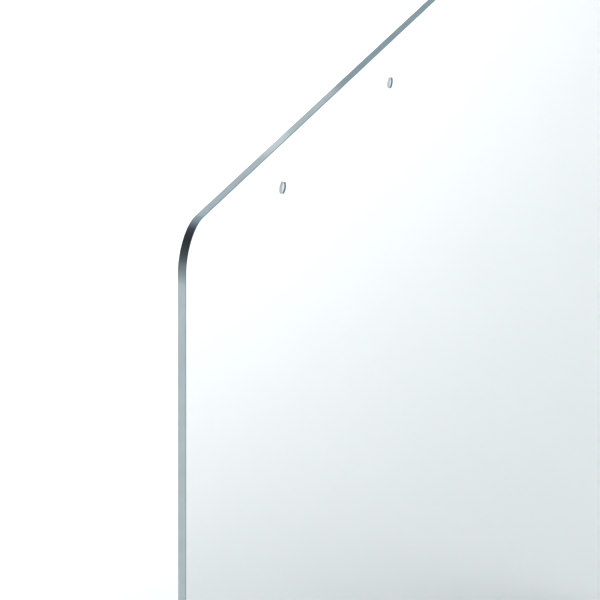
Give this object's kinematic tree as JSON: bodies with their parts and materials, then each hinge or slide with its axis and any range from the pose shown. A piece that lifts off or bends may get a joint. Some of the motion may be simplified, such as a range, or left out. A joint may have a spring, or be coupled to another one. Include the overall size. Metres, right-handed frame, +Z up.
{
  "type": "sneeze guard",
  "caption": "Freestanding countertop sneeze guard: a clear rounded sheet with small holes near its top edge, stood upright in clamp feet with knobs and swivelling bars.",
  "frame": {"origin": "on the counter, under the middle of the sheet", "axes": "+X along the sheet's width, +Y through its thickness to the side away from the knobs, +Z up"},
  "size_m": [1.2, 0.3, 0.9226],
  "materials": {
    "clear_acrylic": "clear, polished edges",
    "brushed_stainless": "brushed along the bar",
    "satin_aluminium": "satin anodised",
    "zinc_steel": "bright zinc plated",
    "black_rubber": "matt",
    "black_nylon": "fine moulded grain",
    "white_nylon": "plain"
  },
  "bodies": {
    "sheet": {"clear_sheet": "clear_acrylic"},
    "left_clamp": {"left_clamp_body": "satin_aluminium", "left_sill_pad": "black_rubber", "left_back_pad": "black_rubber", "left_pivot_screw": "zinc_steel", "left_pivot_washer": "white_nylon"},
    "left_bar": {"left_foot_bar": "brushed_stainless", "left_foot_pad_front_outer": "black_rubber", "left_foot_pad_front_inner": "black_rubber", "left_foot_pad_back_outer": "black_rubber", "left_foot_pad_back_inner": "black_rubber"},
    "left_jaw": {"left_jaw_plate": "zinc_steel", "left_jaw_pad": "black_rubber"},
    "left_knob": {"left_clamp_knob": "black_nylon", "left_clamp_screw": "zinc_steel", "left_jaw_clip": "zinc_steel"},
    "right_clamp": {"right_clamp_body": "satin_aluminium", "right_sill_pad": "black_rubber", "right_back_pad": "black_rubber", "right_pivot_screw": "zinc_steel", "right_pivot_washer": "white_nylon"},
    "right_bar": {"right_foot_bar": "brushed_stainless", "right_foot_pad_front_outer": "black_rubber", "right_foot_pad_front_inner": "black_rubber", "right_foot_pad_back_outer": "black_rubber", "right_foot_pad_back_inner": "black_rubber"},
    "right_jaw": {"right_jaw_plate": "zinc_steel", "right_jaw_pad": "black_rubber"},
    "right_knob": {"right_clamp_knob": "black_nylon", "right_clamp_screw": "zinc_steel", "right_jaw_clip": "zinc_steel"}
  },
  "joints": [
    {"name": "left_lift_off", "type": "slide", "parent": "sheet", "child": "left_clamp", "axis": [0, 0, -1], "range_m": [0, 0.055]},
    {"name": "left_bar_swivel", "type": "hinge", "parent": "left_clamp", "child": "left_bar", "pos_m": [-0.4, 0, 0.0103], "axis": [0, 0, 1], "range_deg": [-90, 90]},
    {"name": "left_jaw_slide", "type": "slide", "parent": "left_clamp", "child": "left_jaw", "axis": [0, -1, 0], "range_m": [0, 0.0025]},
    {"name": "left_knob_turn", "type": "hinge", "parent": "left_jaw", "child": "left_knob", "pos_m": [-0.4, 0, 0.0473], "axis": [0, -1, 0], "range_deg": [0, 720]},
    {"name": "right_lift_off", "type": "slide", "parent": "sheet", "child": "right_clamp", "axis": [0, 0, -1], "range_m": [0, 0.055]},
    {"name": "right_bar_swivel", "type": "hinge", "parent": "right_clamp", "child": "right_bar", "pos_m": [0.4, 0, 0.0103], "axis": [0, 0, 1], "range_deg": [-90, 90]},
    {"name": "right_jaw_slide", "type": "slide", "parent": "right_clamp", "child": "right_jaw", "axis": [0, -1, 0], "range_m": [0, 0.0025]},
    {"name": "right_knob_turn", "type": "hinge", "parent": "right_jaw", "child": "right_knob", "pos_m": [0.4, 0, 0.0473], "axis": [0, -1, 0], "range_deg": [0, 720]}
  ],
  "couplings": [
    {"joint": "left_knob_turn", "follows": "left_jaw_slide", "rad_per_m": 5026.5},
    {"joint": "right_knob_turn", "follows": "right_jaw_slide", "rad_per_m": 5026.5}
  ]
}
